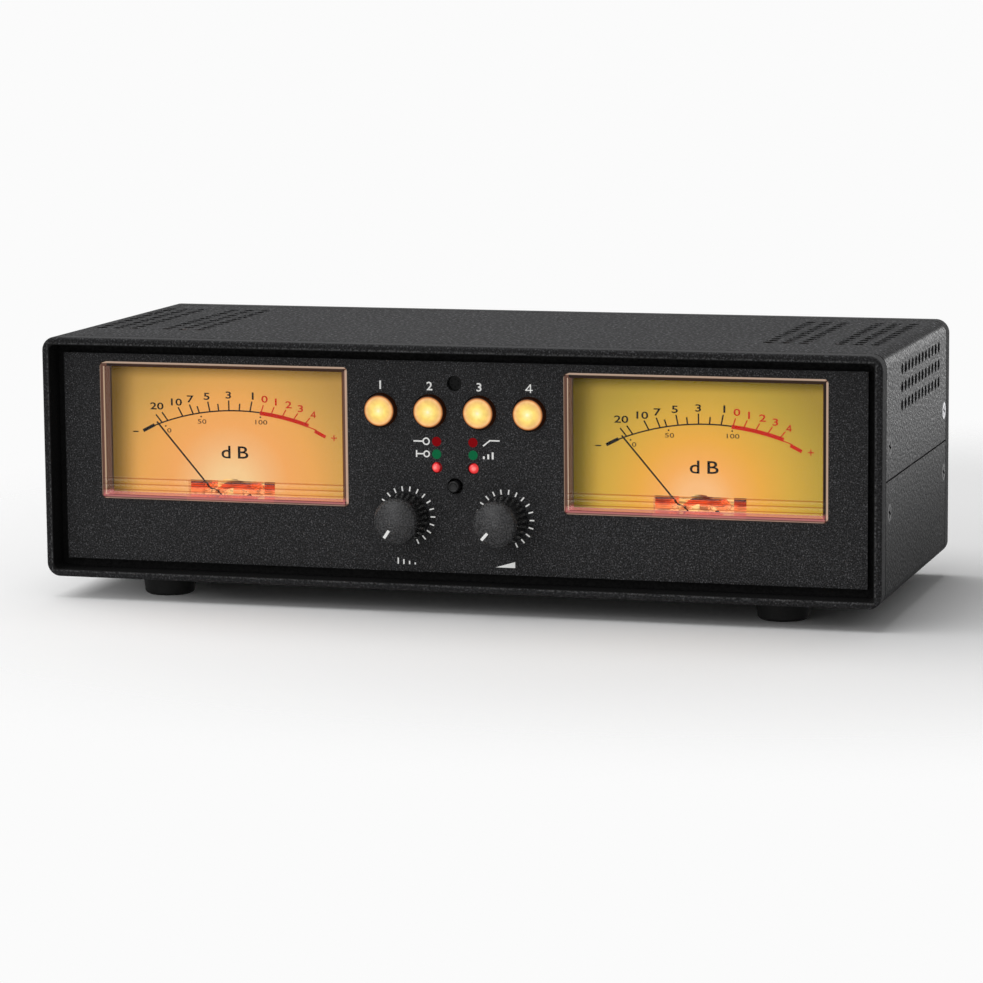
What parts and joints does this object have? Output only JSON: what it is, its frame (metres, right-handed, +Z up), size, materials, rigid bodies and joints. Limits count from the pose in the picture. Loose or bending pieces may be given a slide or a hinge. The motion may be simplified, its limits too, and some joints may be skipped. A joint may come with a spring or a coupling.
{
  "type": "dual analog level meter",
  "caption": "Desktop box with two backlit moving-coil needle meters, lit round selector buttons, knobs, level lamps and phono jacks behind.",
  "frame": {"origin": "middle of the footprint, on the surface that the feet stand on", "axes": "+X to the right seen from the front, +Y from the front to the back, +Z up"},
  "size_m": [0.248, 0.1156, 0.0769],
  "materials": {
    "bezel_black": "satin",
    "panel_grey": "fine texture",
    "cover_black": "coarse texture",
    "foot_rubber": "matte",
    "bright_steel": "satin",
    "black_steel": "satin",
    "clear_lens": "clear",
    "dial_face": "translucent print",
    "housing_black": "matte",
    "needle_black": "matte",
    "movement_metal": "satin",
    "spring_bronze": "satin",
    "lamp_board": "matte",
    "button_amber": "satin",
    "black_plastic": "satin",
    "matte_black": "matte",
    "lamp_red": "gloss",
    "board_green": "solder mask",
    "spacer_brass": "satin",
    "pot_metal": "satin",
    "insulator_white": "matte",
    "capacitor_sleeve": "gloss",
    "ribbon_grey": "matte"
  },
  "bodies": {
    "case": {"front_bezel": "bezel_black", "front_panel": "panel_grey", "top_cover": "cover_black", "bottom_cover": "cover_black", "rear_bezel": "bezel_black", "rear_panel": "panel_grey", "feet": "foot_rubber", "foot_screws": "bright_steel", "foot_nuts": "bright_steel", "case_screws_black": "black_steel", "case_screws_silver": "bright_steel", "rear_panel_screws": "black_steel", "panel_nuts": "bright_steel", "left_meter_lens": "clear_lens", "right_meter_lens": "clear_lens", "left_meter_dial": "dial_face", "right_meter_dial": "dial_face", "left_meter_housing": "housing_black", "right_meter_housing": "housing_black", "left_movement": "movement_metal", "right_movement": "movement_metal", "left_hairspring": "spring_bronze", "right_hairspring": "spring_bronze", "left_meter_lamps": "lamp_board", "right_meter_lamps": "lamp_board", "meter_terminals": "bright_steel", "selector_switches": "matte_black", "mode_switch": "matte_black", "left_pot": "pot_metal", "right_pot": "pot_metal", "level_lamps": "lamp_red", "microphone": "matte_black", "control_board": "board_green", "board_spacers": "spacer_brass", "control_board_screws": "bright_steel", "main_board": "board_green", "main_board_standoffs": "spacer_brass", "main_board_screws": "bright_steel", "jack_blocks": "matte_black", "jack_sleeves": "bright_steel", "jack_insulators": "insulator_white", "inlet_jack": "matte_black", "power_switch": "black_plastic", "relays": "matte_black", "capacitors": "capacitor_sleeve", "chips": "matte_black", "ribbon_cables": "ribbon_grey"},
    "left_needle": {"left_needle": "needle_black"},
    "right_needle": {"right_needle": "needle_black"},
    "button_1": {"selector_button_1": "button_amber"},
    "button_2": {"selector_button_2": "button_amber"},
    "button_3": {"selector_button_3": "button_amber"},
    "button_4": {"selector_button_4": "button_amber"},
    "mode_button": {"mode_button": "black_plastic"},
    "left_knob": {"left_knob": "black_plastic", "left_knob_shaft": "bright_steel"},
    "right_knob": {"right_knob": "black_plastic", "right_knob_shaft": "bright_steel"},
    "power_rocker": {"power_rocker": "black_plastic"}
  },
  "joints": [
    {"name": "left_needle_swing", "type": "hinge", "parent": "case", "child": "left_needle", "pos_m": [-0.07, -0.03625, 0.0259], "axis": [0, 1, 0], "range_deg": [0, 82], "stiffness_Nm_per_rad": 0.00001},
    {"name": "right_needle_swing", "type": "hinge", "parent": "case", "child": "right_needle", "pos_m": [0.07, -0.03625, 0.0259], "axis": [0, 1, 0], "range_deg": [0, 82], "stiffness_Nm_per_rad": 0.00001},
    {"name": "button_1_press", "type": "slide", "parent": "case", "child": "button_1", "axis": [0, 1, 0], "range_m": [0, 0.0004], "stiffness_N_per_m": 2000, "springref_m": -0.0004},
    {"name": "button_2_press", "type": "slide", "parent": "case", "child": "button_2", "axis": [0, 1, 0], "range_m": [0, 0.0004], "stiffness_N_per_m": 2000, "springref_m": -0.0004},
    {"name": "button_3_press", "type": "slide", "parent": "case", "child": "button_3", "axis": [0, 1, 0], "range_m": [0, 0.0004], "stiffness_N_per_m": 2000, "springref_m": -0.0004},
    {"name": "button_4_press", "type": "slide", "parent": "case", "child": "button_4", "axis": [0, 1, 0], "range_m": [0, 0.0004], "stiffness_N_per_m": 2000, "springref_m": -0.0004},
    {"name": "mode_button_press", "type": "slide", "parent": "case", "child": "mode_button", "axis": [0, 1, 0], "range_m": [0, 0.0004], "stiffness_N_per_m": 2000, "springref_m": -0.0004},
    {"name": "left_knob_turn", "type": "hinge", "parent": "case", "child": "left_knob", "pos_m": [-0.0147, -0.04825, 0.0273], "axis": [0, 1, 0], "range_deg": [-4.7, 295.3]},
    {"name": "right_knob_turn", "type": "hinge", "parent": "case", "child": "right_knob", "pos_m": [0.0147, -0.04825, 0.0273], "axis": [0, 1, 0], "range_deg": [-11.3, 288.7]},
    {"name": "power_rocker_tilt", "type": "hinge", "parent": "case", "child": "power_rocker", "pos_m": [-0.086, 0.04905, 0.0425], "axis": [1, 0, 0], "range_deg": [0, 22]}
  ]
}
